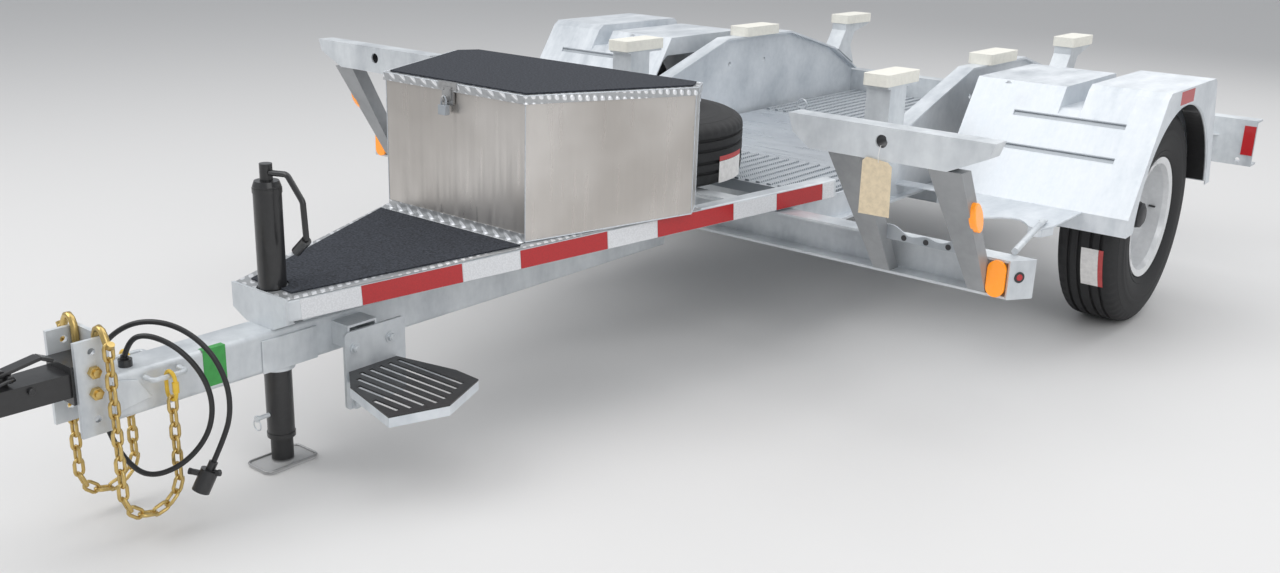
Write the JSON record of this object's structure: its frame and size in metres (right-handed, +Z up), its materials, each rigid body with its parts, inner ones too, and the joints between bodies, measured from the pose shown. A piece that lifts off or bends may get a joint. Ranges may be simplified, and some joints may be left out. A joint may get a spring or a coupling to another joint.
{
  "type": "off-road trailer",
  "caption": "Single-axle off-road equipment trailer: galvanised A-frame tongue, jack, toolbox, flat spare wheel, pad carriers, serrated deck and stepped sheet fenders.",
  "frame": {"origin": "centre of the bounding box's underside: on the ground, on the trailer's middle plane", "axes": "+X to the trailer's left, -Y forward to the coupler, +Z up; the wheels turn about X"},
  "size_m": [2.59, 4.548, 0.8823],
  "materials": {
    "galvanised": "rough",
    "deck_aluminium": "satin",
    "mill_aluminium": "satin",
    "hardware_steel": "satin",
    "mat_rubber": "rough",
    "black_paint": "satin",
    "jack_steel": "satin",
    "gold_zinc": "satin",
    "tyre_rubber": "rough",
    "wheel_silver": "gloss",
    "hub_dark": "satin",
    "pad_plastic": "rough",
    "amber_lens": "gloss",
    "red_lens": "gloss",
    "cable_black": "satin",
    "plug_black": "satin"
  },
  "bodies": {
    "chassis": {"a_frame_rail_left": "galvanised", "a_frame_rail_right": "galvanised", "axle_beam": "galvanised", "cable_gland": "plug_black", "cable_plug": "plug_black", "chain_eyes": "galvanised", "chain_hooks": "gold_zinc", "coupler_bolts": "gold_zinc", "coupler_channel": "galvanised", "coupler_head": "black_paint", "coupler_latch": "black_paint", "cross_member_ends": "galvanised", "deck_cross_tubes": "galvanised", "deck_plate": "deck_aluminium", "fender_left": "galvanised", "fender_outriggers": "galvanised", "fender_right": "galvanised", "fender_struts": "galvanised", "fender_wings": "galvanised", "front_cross_member": "galvanised", "grating_front": "galvanised", "grating_rear": "galvanised", "jack_handle": "jack_steel", "jack_sleeve": "galvanised", "jack_tube": "black_paint", "lamp_cable": "cable_black", "marker_lamps": "amber_lens", "pad_posts_left": "galvanised", "pad_posts_right": "galvanised", "pads_left": "pad_plastic", "pads_right": "pad_plastic", "rear_bumper": "galvanised", "safety_chains": "gold_zinc", "side_plate_left": "galvanised", "side_plate_right": "galvanised", "spare_carrier": "galvanised", "spare_tyre": "tyre_rubber", "spare_wheel": "wheel_silver", "step_bracket": "galvanised", "step_tread": "black_paint", "tail_lamps": "red_lens", "tongue_deck": "galvanised", "tongue_mat": "mat_rubber", "tongue_pedestal": "galvanised", "tongue_tube": "galvanised", "toolbox_body": "mill_aluminium", "torsion_arms": "galvanised", "v_bolster_left": "galvanised", "v_bolster_right": "galvanised", "v_legs": "galvanised"},
    "wheel_left": {"tyre_left": "tyre_rubber", "wheel_left": "wheel_silver", "hub_left": "hub_dark"},
    "wheel_right": {"tyre_right": "tyre_rubber", "wheel_right": "wheel_silver", "hub_right": "hub_dark"},
    "toolbox_lid": {"toolbox_lid": "mill_aluminium", "toolbox_lid_mat": "mat_rubber", "toolbox_hasp": "hardware_steel"},
    "jack_leg": {"jack_leg": "jack_steel"}
  },
  "joints": [
    {"name": "wheel_left_spin", "type": "hinge", "parent": "chassis", "child": "wheel_left", "pos_m": [1.145, 1.15, 0.368], "axis": [1, 0, 0], "continuous": true},
    {"name": "wheel_right_spin", "type": "hinge", "parent": "chassis", "child": "wheel_right", "pos_m": [-1.145, 1.15, 0.368], "axis": [1, 0, 0], "continuous": true},
    {"name": "toolbox_lid_hinge", "type": "hinge", "parent": "chassis", "child": "toolbox_lid", "pos_m": [0, -0.374, 0.825], "axis": [-1, 0, 0], "range_deg": [0, 80]},
    {"name": "jack_leg_slide", "type": "slide", "parent": "chassis", "child": "jack_leg", "axis": [0, 0, 1], "range_m": [-0.38, 0.055]}
  ]
}
